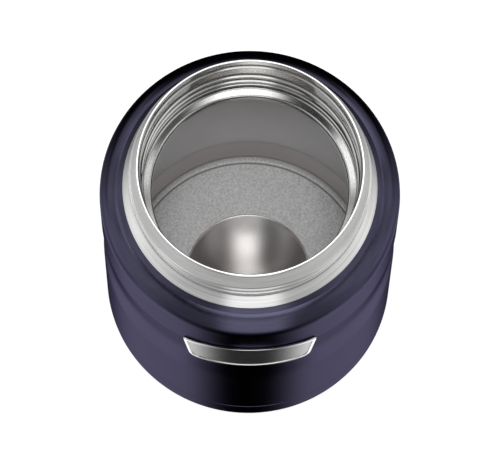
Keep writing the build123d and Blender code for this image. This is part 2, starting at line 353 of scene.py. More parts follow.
def add_piece(name, points, faces, marks, columns, finish, nodes):
    """Smooth mesh object of one piece, made on a grid of points, that stands for CAD nodes.

    The marks give each sharp row of the grid its own number and any other row -1. An edge is sharp
    where both its ends lie on one sharp row.
    """
    mesh = bpy.data.meshes.new(name)
    mesh.from_pydata(points.tolist(), [], faces)
    mesh.shade_smooth()
    rows = np.full(len(points), -1)
    rows[: len(marks) * columns] = np.repeat(marks, columns)
    ends = np.empty(len(mesh.edges) * 2, np.int32)
    mesh.edges.foreach_get("vertices", ends)
    first, second = rows[ends.reshape(-1, 2)].T
    flags = mesh.attributes.new("sharp_edge", "BOOLEAN", "EDGE")
    flags.data.foreach_set("value", (first >= 0) & (first == second))
    mesh.materials.append(finish)
    piece = bpy.data.objects.new(name, mesh)
    bpy.context.scene.collection.objects.link(piece)
    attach(piece, BODY)
    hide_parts(*nodes)


def grid_faces(rows, columns, closed, turn=1):
    """Faces of a grid that closes round its columns, turned over where turn is -1.

    Its rows close too, or two poles, which follow the grid's points, close its first and last row.
    """
    row = np.arange(rows if closed else rows - 1)[:, None]
    column = np.arange(columns)
    here, above = row * columns, (row + 1) % rows * columns
    beside = (column + 1) % columns
    quads = np.stack([here + column, here + beside, above + beside, above + column], -1)
    faces = [quads.reshape(-1, 4)]
    if not closed:
        last, pole = (rows - 1) * columns, np.full(columns, rows * columns)
        faces.append(np.column_stack([pole, beside, column]))
        faces.append(np.column_stack([last + column, last + beside, pole + 1]))
    return [face for part in faces for face in part[:, ::turn].tolist()]


def turned_piece(name, loop, columns, finish, nodes, relief=None):
    """Solid of revolution: each row (radius, height) of a profile is carried round the Z axis.

    The point at angle a is (r cos a, r sin a, h). A profile that starts and ends on the axis is
    closed with two poles, and any other profile is a closed loop. It runs anticlockwise in the
    plane of radius and height, so faces point outwards. Relief is added to each point's radius.
    """
    capped = loop[0, 0] < TOLERANCE and loop[-1, 0] < TOLERANCE
    rings = loop[1:-1] if capped else loop
    marks = np.where(sharp_rows(loop, not capped), np.arange(len(loop)), -1)
    angles = np.linspace(0, 2 * np.pi, columns, endpoint=False)[None, :]
    radius = np.repeat(rings[:, :1], columns, axis=1)
    if relief is not None:
        radius = radius + relief(rings, angles)
    height = np.repeat(rings[:, 1:], columns, axis=1)
    points = np.stack([radius * np.cos(angles), radius * np.sin(angles), height], -1).reshape(-1, 3)
    if capped:
        points = np.vstack([points, [[0, 0, loop[0, 1]], [0, 0, loop[-1, 1]]]])
        marks = marks[1:-1]
    faces = grid_faces(len(rings), columns, not capped)
    add_piece(name, points, faces, marks, columns, finish, nodes)


def raised_line(place, centre, half_width, height):
    """Raised cosine: height * (1 + cos(pi * d / w)) / 2 within w of its centre, and 0 beyond."""
    offset = np.clip((place - centre) / half_width, -1, 1)
    return height * (0.5 + 0.5 * np.cos(np.pi * offset))


def with_rows(path, heights):
    """Path of falling heights with more rows, set between its points by straight lines."""
    merged = np.union1d(path[:, 1], heights)[::-1]
    return np.column_stack([np.interp(-merged, -path[:, 1], path[:, 0]), merged])


def walled(path, wall, thin):
    """Closed loop of a sheet: its seen line, falling, and its hidden line, rising.

    The hidden line lies one wall outside the seen one, or inside it where the wall is negative. It
    keeps one point in every few, as thin says.
    """
    hidden = side_step(path, wall)
    rows = np.unique(np.append(np.arange(0, len(path), thin), len(path) - 1))
    loop = np.vstack([path, hidden[rows][::-1]])
    return loop if wall > 0 else loop[::-1]


def shell_path(shell):
    """Outside line of the shell from its lip down to the seam, as (radius, height) rows."""
    top, body_radius, seam = shell.jar_height, shell.body_radius, shell.seam_height
    ledge_radius = body_radius - shell.shoulder_width
    foot_radius = ledge_radius - shell.ledge_width
    land_radius = foot_radius - shell.neck_flare
    lip_radius = land_radius - shell.lip_step
    ledge_depth = shell.neck_foot_depth + shell.ledge_drop
    shoulder_depth = ledge_depth + shell.shoulder_drop
    return rounded_path([
        (lip_radius - shell.lip_seam, top, 0),
        (lip_radius, top, shell.lip_rounding),
        (lip_radius, top - shell.lip_depth, shell.lip_blend),
        (land_radius, top - shell.neck_land_depth, shell.lip_blend),
        (land_radius, top - shell.neck_flare_depth, shell.neck_flare_blend),
        (foot_radius, top - shell.neck_foot_depth, shell.crease_blend),
        (ledge_radius, top - ledge_depth, shell.crease_blend),
        (body_radius, top - shoulder_depth, shell.shoulder_radius),
        (body_radius, top - shell.belt_top_depth, shell.belt_blend),
        (body_radius - shell.waist_inset, top - shell.waist_depth, shell.waist_blend),
        (body_radius, top - shell.flare_end_depth, shell.flare_blend),
        (body_radius, seam + shell.seam_bevel, 0),
        (body_radius - shell.seam_bevel, seam, 0),
    ])


def vessel_path(shell, vessel):
    """Inside line of the vessel from the weld on the lip down to the weld with its floor."""
    top, wall_radius = shell.jar_height, vessel.mouth_radius - vessel.step_width
    step_foot_depth = vessel.step_depth + vessel.step_length
    throat_radius = wall_radius - vessel.ledge_width
    throat_top_depth = vessel.ledge_depth + vessel.ledge_slope
    throat_foot_depth = throat_top_depth + vessel.throat_length
    foot_radius = vessel.chamber_radius - vessel.foot_inset
    return rounded_path([
        (vessel.mouth_radius + vessel.wall, top, 0),
        (vessel.mouth_radius, top, shell.lip_rounding),
        (vessel.mouth_radius, top - vessel.step_depth, vessel.step_blend),
        (wall_radius, top - step_foot_depth, vessel.step_blend),
        (wall_radius, top - vessel.ledge_depth, vessel.ledge_blend),
        (throat_radius, top - throat_top_depth, vessel.ledge_blend),
        (throat_radius, top - throat_foot_depth, vessel.throat_blend),
        (vessel.chamber_radius, top - vessel.chamber_top_depth, vessel.chamber_blend),
        (vessel.chamber_radius, vessel.taper_top_height, vessel.taper_blend),
        (foot_radius, vessel.collar_height, vessel.collar_blend),
        (foot_radius, vessel.joint_height, 0),
    ])


def throat_joint(vessel):
    """Depth halfway down the throat, where the vessel's neck and its wall meet."""
    return vessel.ledge_depth + vessel.ledge_slope + vessel.throat_length / 2


def thread_ridge(thread, ledge_depth, depth, angles):
    """Height of the thread's ridge over the wall, at a depth and an angle.

    The ridge's centre line rises by one pitch a turn from its start, and across it the height is a
    smooth step between the half root width and the half crest width. It fades at both ends.
    """
    ridge = 0
    sweep = 2 * np.pi * thread.turns
    for turn in range(int(np.ceil(thread.turns))):
        travel = (angles - thread.start) % (2 * np.pi) + 2 * np.pi * turn
        centre = ledge_depth - thread.clearance - thread.pitch * travel / (2 * np.pi)
        outer, inner = thread.root_width / 2, thread.crest_width / 2
        across = np.clip((outer - np.abs(depth - centre)) / (outer - inner), 0, 1)
        fade = np.clip(np.minimum(travel, sweep - travel) / thread.runout, 0, 1)
        bell = across * across * (3 - 2 * across) * fade * fade * (3 - 2 * fade)
        ridge = np.maximum(ridge, bell)
    return thread.height * ridge


def badge_outline(shell, badge):
    """Closed outline of the badge in x and z, with the outward normal of each point.

    Its foot is level, its sides lean outwards and its top is an arc through the two top corners and
    the highest point.
    """
    top = shell.jar_height - badge.top_depth
    foot, corner_height = top - badge.height, top - badge.arch
    half, foot_half, corner_margin = badge.top_width / 2, badge.bottom_width / 2, 3 * MM
    circle = (half**2 + badge.arch**2) / (2 * badge.arch)
    across = np.linspace(half - corner_margin, corner_margin - half, CROWN_POINTS)
    arch = top - circle + np.sqrt(circle**2 - across**2)
    path = rounded_path([
        (0, foot, 0),
        (foot_half, foot, badge.bottom_corner),
        (half, corner_height, badge.top_corner),
        *np.column_stack([across, arch, np.zeros(CROWN_POINTS)]),
        (-half, corner_height, badge.top_corner),
        (-foot_half, foot, badge.bottom_corner),
        (0, foot, 0),
    ], run_step=1 * MM)[:-1]
    along = np.roll(path, -1, axis=0) - np.roll(path, 1, axis=0)
    along /= np.linalg.norm(along, axis=1)[:, None]
    return path, np.column_stack([along[:, 1], -along[:, 0]])


def on_barrel(flat, radius):
    """Points at x and z bent onto a cylinder round the Z axis, on its -Y side."""
    depth = -np.sqrt(radius**2 - flat[..., 0] ** 2)
    return np.stack([flat[..., 0], depth, flat[..., 1]], -1)


# ---------------------------------------------------------------- finishes


class Wire:
    """One value in a material's nodes, on which Python's operators add Math nodes."""

    def __init__(self, socket):
        self.socket = socket
        self.tree = socket.id_data

    @classmethod
    def node(cls, tree, kind, settings=None, values=None, output=0):
        """Adds any node: its settings first, then the values or wires of its sockets."""
        node = tree.nodes.new(kind)
        for name, value in (settings or {}).items():
            setattr(node, name, value)
        for name, value in (values or {}).items():
            if isinstance(value, Wire):
                tree.links.new(value.socket, node.inputs[name])
            else:
                node.inputs[name].default_value = value
        return cls(node.outputs[output])

    def calculate(self, operation, *values):
        values = dict(enumerate(values))
        return Wire.node(self.tree, "ShaderNodeMath", {"operation": operation}, values)

    def math(self, operation, *values):
        return self.calculate(operation, self, *values)

    def __add__(self, other):
        return self.math("ADD", other)

    def __sub__(self, other):
        return self.math("SUBTRACT", other)

    def __rsub__(self, other):
        return self.calculate("SUBTRACT", other, self)

    def __mul__(self, other):
        return self.math("MULTIPLY", other)

    def __truediv__(self, other):
        return self.math("DIVIDE", other)

    def __rtruediv__(self, other):
        return self.calculate("DIVIDE", other, self)

    __radd__, __rmul__ = __add__, __mul__

    def step(self, low, high):
        """Smooth step from 0 at low to 1 at high."""
        kind = {"interpolation_type": "SMOOTHSTEP"}
        values = {"From Min": low, "From Max": high, "Value": self}
        return Wire.node(self.tree, "ShaderNodeMapRange", kind, values)

    def fade(self, low, high):
        """Smooth step from 1 at low to 0 at high."""
        return 1 - self.step(low, high)

    def band(self, start, full, end, gone):
        """Smooth rise from start to full, and smooth fall from end to gone."""
        return self.step(start, full) * self.fade(end, gone)

    def near(self, centre, inner, outer):
        """1 within the inner distance from a centre, falling smoothly to 0 at the outer one."""
        return (self - centre).math("ABSOLUTE").fade(inner, outer)


class Finish:
    """A material with its Principled shader and the coordinates that its patterns read.

    Patterns have scales per metre, and the values of a noise lie about 0.5.
    """

    def __init__(self, name, **constants):
        self.material = bpy.data.materials.new(name)
        self.material.use_nodes = True
        self.tree = self.material.node_tree
        self.shader = self.tree.nodes["Principled BSDF"]
        for socket, value in constants.items():
            self.shader.inputs[socket.replace("_", " ")].default_value = value
        self.place = self.node("ShaderNodeTexCoord", output="Object")
        parts = [self.node("ShaderNodeSeparateXYZ", None, {0: self.place}, i) for i in range(3)]
        self.x, self.y, self.z = parts
        self.radius = (self.x * self.x + self.y * self.y + 1e-9).math("SQRT")

    def node(self, kind, settings=None, values=None, output=0):
        return Wire.node(self.tree, kind, settings, values, output)

    def noise(self, scale, detail=2.0, roughness=0.5, place=None, swirl=0.0):
        values = {"Vector": place or self.place, "Scale": scale, "Detail": detail}
        values.update({"Roughness": roughness, "Distortion": swirl})
        return self.node("ShaderNodeTexNoise", None, values)

    def cells(self, scale, feature="F1"):
        """Distance from the middles of cells, or from their edges."""
        values = {"Vector": self.place, "Scale": scale}
        return self.node("ShaderNodeTexVoronoi", {"feature": feature}, values)

    def turned_place(self, along, across):
        """Coordinates stretched round the axis, for lines that a lathe leaves.

        They are (cos, sin) * along and (height + lean * radius) * across. The lean makes the lines
        show on level faces too.
        """
        lean = 0.3
        values = {
            0: self.x / self.radius * along,
            1: self.y / self.radius * along,
            2: (self.z + self.radius * lean) * across,
        }
        return self.node("ShaderNodeCombineXYZ", None, values)

    def mix(self, share, first, second):
        """Colour between two colours or wires."""
        first, second = [
            colour if isinstance(colour, Wire) else (*colour, 1) for colour in (first, second)
        ]
        return self.node("ShaderNodeMix", {"data_type": "RGBA"}, {0: share, 6: first, 7: second}, 2)

    def feed(self, socket, wire):
        self.tree.links.new(wire.socket, self.shader.inputs[socket])

    def done(self, colour, rough, height=None, relief=None):
        """The material, fed with a colour, a roughness and a bump.

        The bump's height goes from 0 to 1 over the relief, in metres.
        """
        self.feed("Base Color", colour)
        self.feed("Roughness", rough)
        if height is not None:
            values = {"Height": height, "Distance": relief}
            self.feed("Normal", self.node("ShaderNodeBump", None, values))
        return self.material


def turned_steel(finish, colours, steels, rough, metal, marks, relief, darkening):
    """Bare steel turned on a lathe: fine lines round the axis in colour, gloss and relief.

    The marks say how strong the lines are, and the darkening is the share of a dark colour: painted
    shade at the roots of the step and ridges in the mouth, and a darker tone on the neck's band and
    the mouth's ledge.
    """
    fine = finish.noise(1.0, 3.0, 0.6, finish.turned_place(1.6, 7000))
    broad = finish.noise(1.0, 3.0, 0.6, finish.turned_place(1.1, 1900))
    cloud = finish.noise(38.0, 3.0)
    streaks = (fine - 0.5) * 0.7 + (broad - 0.5) * 0.9 + (cloud - 0.5) * 0.25
    tone = finish.mix((streaks * marks * 2 + 0.6).step(0, 1), *steels)
    rough = (streaks * marks * 0.3 + rough).math("MAXIMUM", 0.04)
    finish.feed("Metallic", (cloud - 0.5) * 0.1 + metal)
    tone = finish.mix(darkening, tone, colours.residue)
    return finish.done(tone, rough, fine * 0.3 + broad * 0.7, relief)


def neck_finish(colours, shell):
    """Turned steel: polished at the rim, satin on the band under it, bright on beads and flare."""
    finish = Finish("turned_neck_steel", Anisotropic=0.5, Anisotropic_Rotation=0.25)
    top = shell.jar_height
    band_foot = top - shell.upper_bead_depth + shell.upper_bead_width
    band = finish.z.step(band_foot - 0.3 * MM, band_foot + 0.1 * MM)
    rim = finish.z.step(top - 0.7 * MM, top - 0.3 * MM)
    rough = band * 0.23 - rim * 0.28 + 0.17
    metal = rim * 0.6 - band * 0.4 + 0.7
    darkening = (band - rim).math("MAXIMUM", 0) * 0.3
    steels = colours.satin, colours.neck
    return turned_steel(finish, colours, steels, rough, metal, 0.9, 0.04 * MM, darkening)


def mouth_finish(colours, shell, vessel):
    """Turned steel of the mouth: painted shade at the roots of its step and ridges, and a grained
    ledge.
    """
    finish = Finish("turned_mouth_steel")
    ledge_height = shell.jar_height - vessel.ledge_depth
    ledge = finish.z.fade(ledge_height + 0.3 * MM, ledge_height + 0.9 * MM)
    grain = ledge * finish.noise(1900.0, 2.0, 0.6)
    darkening = grain * 0.5
    # Painted shade: a dark line just inside the mouth's wall and the threaded wall, at the roots of
    # the step and ridges
    for radius in (vessel.mouth_radius, vessel.mouth_radius - vessel.step_width):
        darkening = finish.radius.near(radius - 0.15 * MM, 0.03 * MM, 0.1 * MM) * 0.75 + darkening
    steels = colours.steel_deep, colours.steel
    rough = grain * 0.07 + 0.07
    return turned_steel(finish, colours, steels, rough, 0.98, 0.3, 0.007 * MM, darkening)


def lacquer_finish(colours, shell):
    """Translucent metallic lacquer over brushed steel: flakes, faint hairlines and a soft coat.

    The rolled line under the belt is darkened to near black, as painted shade in that line.
    """
    finish = Finish(
        "midnight_lacquer", Metallic=1.0, Specular_Tint=(0.57, 0.56, 0.6, 1), Anisotropic=0.5,
        Anisotropic_Rotation=0.25, Coat_Weight=1.0, Coat_IOR=1.003, Coat_Roughness=0.25,
        Coat_Tint=(0.80, 0.79, 0.845, 1),
    )
    flakes = finish.noise(5200.0, 2.0, 0.6)
    cloud = finish.noise(30.0, 3.0)
    lines = finish.noise(1.0, 2.0, 0.6, finish.turned_place(5.0, 5200))
    tone = (flakes - 0.5) * 1.7 + (cloud - 0.5) * 0.6 + (lines - 0.5) * 1.5 + 0.6
    tone = finish.mix(tone.step(0, 1), colours.lacquer_deep, colours.lacquer)
    line_height, width = shell.jar_height - shell.belt_top_depth, shell.belt_line_width
    # Painted shade: the rolled line under the belt is darkened towards a near-black colour
    line = finish.z.near(line_height, width * 0.7, width * 1.2)
    tone = finish.mix(line * 0.75, tone, colours.pooled)
    rough = (flakes - 0.5) * 0.12 + (lines - 0.5) * 0.08 + 0.2
    return finish.done(tone, rough, flakes * 0.5 + lines * 0.5, 0.006 * MM)


def vessel_finish(colours, vessel):
    """Electropolished wall: satin grain, a warm tint towards the weld and brighter sheet above."""
    finish = Finish("satin_vessel_steel", Metallic=0.85)
    grain = finish.noise(2600.0, 3.0, 0.65)
    cloud = finish.noise(26.0, 3.0)
    warmth = finish.z.fade(vessel.joint_height, vessel.taper_top_height + 6 * MM)
    weld = finish.z.near(vessel.joint_height, 0.2 * MM, 0.7 * MM)
    tone = (cloud + (grain - 0.5) * 0.6).step(0.1, 0.9)
    tone = finish.mix(tone, colours.satin_deep, colours.satin)
    tone = finish.mix(warmth * 0.8, tone, colours.heat_tint)
    tone = finish.mix(weld * 0.85, tone, colours.oxide)
    rough = (grain - 0.5) * 0.12 + (cloud - 0.5) * 0.06 + 0.3
    return finish.done(tone, rough, grain, 0.012 * MM)


def floor_finish(colours, vessel, crease_radius):
    """Frosted floor: blasted grain outside the dish, smoother and warmer steel inside it.

    The weld at its edge is a dark line, and the pressed crease at the foot of its rounding is
    darkened as painted shade.
    """
    finish = Finish("frosted_floor_steel")
    grain = finish.noise(1750.0, 3.0, 0.6)
    speck = finish.noise(3600.0, 2.0, 0.6)
    cloud = finish.noise(30.0, 3.0)
    dish = finish.radius.fade(vessel.dish_radius + 0.3 * MM, vessel.dish_radius + 0.45 * MM)
    tone = (grain - 0.5) * 1.7 + (speck - 0.5) * 1.4 + (cloud - 0.5) * 0.4 + 0.5
    plain = finish.mix(tone.step(0, 1), colours.satin_deep, colours.frosted)
    smooth = finish.mix(cloud.step(0.2, 0.8), colours.heat_tint, colours.steel_deep)
    tone = finish.mix(dish * 0.9, plain, smooth)
    # Painted shade: the pressed crease at the foot of the floor's rounding is darkened with the
    # weld's colour
    crease = finish.radius.near(crease_radius, 0.15 * MM, 0.5 * MM)
    weld = finish.z.step(vessel.joint_height - 0.7 * MM, vessel.joint_height - 0.2 * MM)
    tone = finish.mix(crease.math("MAXIMUM", weld) * 0.85, tone, colours.oxide)
    blasted = (grain - 0.5) * 0.2 + 0.34
    rough = blasted + dish * (0.2 - blasted)
    finish.feed("Metallic", dish * 0.63 + 0.28)
    return finish.done(tone, rough, grain * 0.6 + speck * 0.4, (1 - dish * 0.9) * (0.12 * MM))


def brushed_steel(name, steels, rough, lines, metal=1.0):
    """Steel brushed in straight lines along X, with darker and brighter strands."""
    finish = Finish(name, Metallic=metal)
    values = {0: finish.x * 40.0, 1: finish.y * lines, 2: finish.z * lines}
    strands = finish.noise(1.0, 3.0, 0.6, finish.node("ShaderNodeCombineXYZ", None, values))
    cloud = finish.noise(90.0, 2.0)
    tone = (strands - 0.5) * 1.8 + (cloud - 0.5) * 0.4 + 0.5
    tone = finish.mix(tone.step(0, 1), *steels)
    return finish.done(tone, (strands - 0.5) * 0.25 + rough, strands, 0.008 * MM)


def border_finish(colours):
    """Bright polished steel with faint swirls."""
    finish = Finish("polished_border_steel", Metallic=1.0)
    swirl = finish.noise(420.0, 3.0, 0.6, swirl=1.2)
    tone = finish.mix(swirl.step(0.2, 0.8) * 0.4, colours.neck, colours.steel)
    return finish.done(tone, (swirl - 0.5) * 0.08 + 0.1)


def foil_finish(colours):
    """Bright rolled foil with fine creases."""
    finish = Finish("shield_foil", Metallic=1.0)
    cloud = finish.noise(160.0, 3.0)
    creases = finish.cells(190.0, "DISTANCE_TO_EDGE").step(0, 0.12) + cloud * 0.4
    tone = finish.mix(cloud.step(0.2, 0.8), colours.foil_deep, colours.foil)
    return finish.done(tone, cloud * 0.16 + 0.14, creases, 0.06 * MM)


def getter_finish(colours):
    """Dark porous getter metal."""
    finish = Finish("getter_metal", Metallic=0.85)
    pores = finish.cells(2800.0)
    tone = finish.mix(pores.step(0.1, 0.6), colours.getter_deep, colours.getter)
    return finish.done(tone, finish.noise(700.0, 3.0) * 0.2 + 0.55, pores, 0.04 * MM)


def glass_finish(colours):
    """Fused brown glass with a few bubbles."""
    finish = Finish("seal_glass", IOR=1.52, Coat_Weight=0.3)
    cloud = finish.noise(600.0, 3.0)
    tone = finish.mix(cloud.step(0.25, 0.75), colours.glass_deep, colours.glass)
    return finish.done(tone, cloud * 0.1 + 0.08, finish.cells(1900.0).step(0, 0.2), 0.03 * MM)


def foam_finish(colours):
    """Black closed-cell foam tape."""
    finish = Finish("adhesive_foam")
    cells = finish.cells(3600.0)
    tone = finish.mix(cells.step(0, 0.7), colours.foam_deep, colours.foam)
    return finish.done(tone, cells * 0.2 + 0.75, cells, 0.05 * MM)


# ---------------------------------------------------------------- pieces


class JAR_OT_lacquered_shell(Operator):
    """Builds the lacquered body wall, from the foot of the neck down to the base seam"""

    bl_idname = "food_jar.lacquered_shell"
    bl_label = "Lacquered shell"

    def execute(self, context):
        shell = context.scene.jar_shell
        path = shell_path(shell)
        wall = path[path[:, 1] <= shell.jar_height - shell.neck_foot_depth]
        reach = 1.2 * shell.belt_line_width  # a little beyond the line
        rows = np.linspace(-reach, reach, LINE_ROWS)
        wall = with_rows(wall, shell.jar_height - shell.belt_top_depth + rows)
        line = shell.belt_top_depth, shell.belt_line_width, shell.belt_line_depth
        wall[:, 0] -= raised_line(shell.jar_height - wall[:, 1], *line)
        loop = walled(wall, -shell.wall, thin=3)
        finish = lacquer_finish(context.scene.jar_finish, shell)
        nodes, slot = ["outer_shell"], "lacquered_steel"
        turned_piece("lacquered_shell", loop, WALL_COLUMNS, finish, nodes)
        return {"FINISHED"}


class JAR_OT_bare_neck(Operator):
    """Builds the bare steel neck with its two rolled beads, outside the mouth"""

    bl_idname = "food_jar.bare_neck"
    bl_label = "Bare neck"

    def execute(self, context):
        shell = context.scene.jar_shell
        path = shell_path(shell)
        foot = shell.jar_height - shell.neck_foot_depth - TOLERANCE
        neck = path[: np.count_nonzero(path[:, 1] >= foot) + 1]
        start = np.argmax(neck[:, 1] < shell.jar_height - shell.lip_depth)
        beads = [
            (shell.upper_bead_depth, shell.upper_bead_width, shell.upper_bead_height),
            (shell.lower_bead_depth, shell.lower_bead_width, shell.lower_bead_height),
        ]
        dense = [centre + np.linspace(-1, 1, BEAD_ROWS) * width for centre, width, height in beads]
        lower = with_rows(neck[start:], shell.jar_height - np.concatenate(dense))
        depth = shell.jar_height - lower[:, 1]
        for bead in beads:
            lower[:, 0] += raised_line(depth, *bead)
        inside = side_step(neck, -shell.wall)[::-4]  # hidden, so one point in four
        loop = np.vstack([neck[:start], lower, inside])[::-1]
        finish = neck_finish(context.scene.jar_finish, shell)
        turned_piece("bare_neck", loop, NECK_COLUMNS, finish, ["outer_shell"])
        return {"FINISHED"}


class JAR_OT_base_cap(Operator):
    """Builds the drawn base cap with its foot ring, recess and dimple"""

    bl_idname = "food_jar.base_cap"
    bl_label = "Base cap"

    def execute(self, context):
        shell, base = context.scene.jar_shell, context.scene.jar_base
        foot_inner = shell.body_radius - base.foot_rounding - base.foot_width
        dimple_top = base.recess_height + base.dimple_height
        path = rounded_path([
            (shell.body_radius - shell.seam_bevel, shell.seam_height, 0),
            (shell.body_radius, shell.seam_height - shell.seam_bevel, 0),
            (shell.body_radius, 0, base.foot_rounding),
            (foot_inner, 0, base.recess_blend),
            (foot_inner - base.foot_slope, base.recess_height, base.recess_blend),
            (base.dimple_radius, base.recess_height, base.recess_blend),
            (base.dimple_radius - base.dimple_slope, dimple_top, base.recess_blend),
            (base.hole_radius, dimple_top, 0),
        ])
        loop = walled(path, -shell.wall, thin=2)
        finish = bpy.data.materials["midnight_lacquer"]  # of the lacquered shell
        turned_piece("base_cap", loop, WALL_COLUMNS, finish, ["outer_base"])
        return {"FINISHED"}


class JAR_OT_vessel_neck(Operator):
    """Builds the vessel's mouth with its rolled thread, sealing ledge and throat"""

    bl_idname = "food_jar.vessel_neck"
    bl_label = "Vessel neck"

    def execute(self, context):
        shell, vessel = context.scene.jar_shell, context.scene.jar_vessel
        thread, joint = context.scene.jar_thread, throat_joint(vessel)
        path = vessel_path(shell, vessel)
        depth = shell.jar_height - path[:, 1]
        top = path[depth < vessel.step_depth]
        wall = path[(depth >= vessel.step_depth) & (depth < joint)]
        wall = np.vstack([wall, [wall[-1, 0], shell.jar_height - joint]])
        low = vessel.ledge_depth - thread.clearance + thread.root_width / 2
        high = low - thread.pitch * thread.turns - thread.root_width
        low = max(low, vessel.stop_line_depth + vessel.stop_line_width)
        rows = np.append(np.arange(high, low, THREAD_ROW), joint)
        inside = np.vstack([top, with_rows(wall, shell.jar_height - rows)])
        outside = side_step(inside, vessel.wall)[2::4]  # hidden, so one point in four
        loop = np.vstack([inside, outside[::-1]])
        line = vessel.stop_line_depth, vessel.stop_line_width, vessel.stop_line_height

        def relief(rings, angles):
            depth = shell.jar_height - rings[:, 1:]
            ridge = thread_ridge(thread, vessel.ledge_depth, depth, angles)
            ridge = ridge + raised_line(depth, *line)
            ridge[len(inside):] = 0
            return -ridge

        finish = mouth_finish(context.scene.jar_finish, shell, vessel)
        nodes, slot = ["liner_body"], "vessel_steel"
        turned_piece("vessel_neck", loop, NECK_COLUMNS, finish, nodes, relief)
        return {"FINISHED"}


class JAR_OT_vessel_chamber(Operator):
    """Builds the chamber wall and the dished floor of the vessel"""

    bl_idname = "food_jar.vessel_chamber"
    bl_label = "Vessel chamber"

    def execute(self, context):
        shell, vessel = context.scene.jar_shell, context.scene.jar_vessel
        colours = context.scene.jar_finish
        joint = shell.jar_height - throat_joint(vessel)
        weld = vessel.joint_height, vessel.weld_width, vessel.weld_height
        taper_line = vessel.taper_top_height, vessel.taper_line_width, vessel.taper_line_height
        path = vessel_path(shell, vessel)
        wall = path[path[:, 1] < joint]
        wall = np.vstack([[wall[0, 0], joint], wall])
        rows = np.linspace(-1, 1, LINE_ROWS) * vessel.taper_line_width
        wall = with_rows(wall, vessel.taper_top_height + rows)
        wall[:, 0] -= raised_line(wall[:, 1], *weld) + raised_line(wall[:, 1], *taper_line)
        loop = walled(wall, vessel.wall, thin=4)
        finish = vessel_finish(colours, vessel)
        turned_piece("vessel_wall", loop, WALL_COLUMNS, finish, ["liner_body"])

        foot = vessel.chamber_radius - vessel.foot_inset
        sphere = (vessel.dish_radius**2 + vessel.dish_depth**2) / (2 * vessel.dish_depth)
        sweep = np.linspace(np.arcsin(vessel.dish_radius / sphere), 0, DISH_ROWS)
        bottom = vessel.floor_height - vessel.dish_depth
        dish = np.column_stack([sphere * np.sin(sweep), bottom + sphere * (1 - np.cos(sweep))])
        blended = 3  # row of the dish at which its rounded edge has ended
        flange = rounded_path([
            (foot, vessel.joint_height, 0),
            (foot, vessel.floor_height, vessel.floor_corner),
            (vessel.dish_radius, vessel.floor_height, vessel.dish_blend),
            (*dish[blended], 0),
        ], support=0.3 * MM)
        floor = np.vstack([flange, dish[blended + 1:]])
        floor[:, 0] -= raised_line(floor[:, 1], *weld) * (floor[:, 0] > foot - vessel.weld_width)
        crease = foot - vessel.floor_corner
        floor[:, 1] -= raised_line(floor[:, 0], crease, vessel.crease_width, vessel.crease_depth)
        under = side_step(floor, vessel.wall)
        under[-1] = 0, floor[-1, 1] - vessel.wall
        loop = np.vstack([floor[::-1], under])
        finish = floor_finish(colours, vessel, crease)
        turned_piece("vessel_floor", loop, WALL_COLUMNS, finish, ["liner_base"])
        return {"FINISHED"}


class JAR_OT_badge(Operator):
    """Builds the badge: a polished raised border round a bare brushed panel"""

    bl_idname = "food_jar.badge"
    bl_label = "Badge"

    def execute(self, context):
        shell, badge = context.scene.jar_shell, context.scene.jar_badge
        colours, nodes, slot = context.scene.jar_finish, ["badge_plate"], "badge_steel"
        outline, outward = badge_outline(shell, badge)
        columns = len(outline)
        inner = shell.body_radius + badge.standoff
        outer = inner + badge.thickness
        panel_top = outer - badge.panel_depth
        section = rounded_path([
            (badge.border / 2, inner, 0),
            (0, inner, 0),
            (0, outer, badge.edge),
            (badge.border, outer, badge.edge),
            (badge.border, inner, 0),
            (badge.border / 2, inner, 0),
        ], arc_steps=5)[:-1]
        flat = outline[None] - outward[None] * section[:, :1, None]
        points = on_barrel(flat, section[:, 1:]).reshape(-1, 3)
        faces = grid_faces(len(section), columns, closed=True, turn=-1)
        marks = np.where(sharp_rows(section, True), np.arange(len(section)), -1)
        finish = border_finish(colours)
        add_piece("badge_border", points, faces, marks, columns, finish, nodes)

        edge = outline - outward * badge.border
        middle, hub = edge.mean(0), 0.04
        shares = np.linspace(hub, 1, PANEL_ROWS)
        shares = np.concatenate([shares, shares[::-1]])[:, None, None]
        levels = np.repeat([panel_top, inner], PANEL_ROWS)[:, None]
        points = on_barrel(middle + (edge[None] - middle) * shares, levels).reshape(-1, 3)
        poles = on_barrel(np.array([middle, middle]), np.array([panel_top, inner]))
        points = np.vstack([points, poles])
        faces = grid_faces(2 * PANEL_ROWS, columns, closed=False, turn=-1)
        marks = np.full(2 * PANEL_ROWS, -1)
        marks[PANEL_ROWS - 1 : PANEL_ROWS + 1] = 0, 1
        strands = colours.plate_deep, colours.plate
        finish = brushed_steel("brushed_panel_steel", strands, 0.15, 5200, 0.9)
        add_piece("badge_panel", points, faces, marks, columns, finish, nodes)
        return {"FINISHED"}


class JAR_OT_vacuum_parts(Operator):
    """Finishes the parts in the vacuum gap and under the base, which keep their own shapes"""

    bl_idname = "food_jar.vacuum_parts"
    bl_label = "Vacuum parts"

    def execute(self, context):
        colours = context.scene.jar_finish
        steels = colours.steel_deep, colours.steel
        foil = foil_finish(colours)
        finishes = {
            "heat_shield": foil,
            "shield_disc": foil,
            "getter_clip": brushed_steel("spring_strip_steel", steels, 0.3, 3000),
            "getter_pellet": getter_finish(colours),
            "vacuum_seal": glass_finish(colours),
            "seal_cover": brushed_steel("brushed_cover_steel", steels, 0.3, 2600),
            "badge_pad": foam_finish(colours),
        }
        for node, finish in finishes.items():
            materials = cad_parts[node].data.materials
            materials.clear()
            materials.append(finish)
        return {"FINISHED"}


# ---------------------------------------------------------------- studio


def show_by_ray(tree, output, camera, glossy, other):
    """Feeds an output with one shader for the camera, one for reflections and one for the rest."""
    for ray, shader in (("Is Glossy Ray", glossy), ("Is Camera Ray", camera)):
        ray = Wire.node(tree, "ShaderNodeLightPath", output=ray)
        other = Wire.node(tree, "ShaderNodeMixShader", None, {0: ray, 1: other, 2: shader})
    tree.links.new(other.socket, tree.nodes.new(output).inputs["Surface"])


